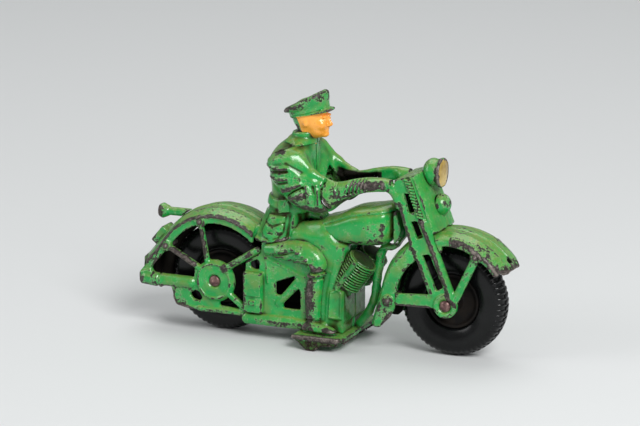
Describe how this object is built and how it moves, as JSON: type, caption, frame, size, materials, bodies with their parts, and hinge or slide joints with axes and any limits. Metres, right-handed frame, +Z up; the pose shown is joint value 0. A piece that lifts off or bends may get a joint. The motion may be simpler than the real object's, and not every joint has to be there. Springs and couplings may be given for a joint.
{
  "type": "toy motorcycle",
  "caption": "Cast toy motorcycle with a seated rider in cap and gauntlets, two riveted half castings, rubber tyres and loose rolling wheels.",
  "frame": {"origin": "floor point under the middle of the bounding box", "axes": "+X is the way the toy faces, +Y is the rider's left, +Z is up"},
  "size_m": [0.1782, 0.045, 0.1151],
  "materials": {
    "green_enamel": "worn gloss enamel on cast iron",
    "flesh_enamel": "worn gloss enamel on cast iron",
    "tyre_rubber": "matt black rubber",
    "hub_steel": "blackened steel",
    "axle_steel": "rusted steel"
  },
  "bodies": {
    "castings": {"rear_guard_r": "green_enamel", "rear_guard_l": "green_enamel", "rear_plate_r": "green_enamel", "rear_plate_l": "green_enamel", "tail_lamp_r": "green_enamel", "tail_lamp_l": "green_enamel", "frame_r": "green_enamel", "frame_l": "green_enamel", "footboard_r": "green_enamel", "footboard_l": "green_enamel", "engine_r": "green_enamel", "engine_l": "green_enamel", "downtube_r": "green_enamel", "downtube_l": "green_enamel", "tank_r": "green_enamel", "tank_l": "green_enamel", "fork_r": "green_enamel", "fork_l": "green_enamel", "handlebar_r": "green_enamel", "handlebar_l": "green_enamel", "front_guard_r": "green_enamel", "front_guard_l": "green_enamel", "headlamp_r": "green_enamel", "headlamp_l": "green_enamel", "horn_r": "green_enamel", "horn_l": "green_enamel", "coat_r": "green_enamel", "coat_l": "green_enamel", "arm_r": "green_enamel", "arm_l": "green_enamel", "leg_r": "green_enamel", "leg_l": "green_enamel", "head_r": "flesh_enamel", "head_l": "flesh_enamel", "front_axle": "axle_steel", "rear_axle": "axle_steel", "rivets": "axle_steel"},
    "front_wheel": {"front_tyre": "tyre_rubber", "front_hub": "hub_steel"},
    "rear_wheel": {"rear_tyre": "tyre_rubber", "rear_hub": "hub_steel"}
  },
  "joints": [
    {"name": "front_wheel_spin", "type": "hinge", "parent": "castings", "child": "front_wheel", "pos_m": [0.06043, 0, 0.025], "axis": [0, 1, 0], "continuous": true},
    {"name": "rear_wheel_spin", "type": "hinge", "parent": "castings", "child": "rear_wheel", "pos_m": [-0.05157, 0, 0.025], "axis": [0, 1, 0], "continuous": true}
  ]
}
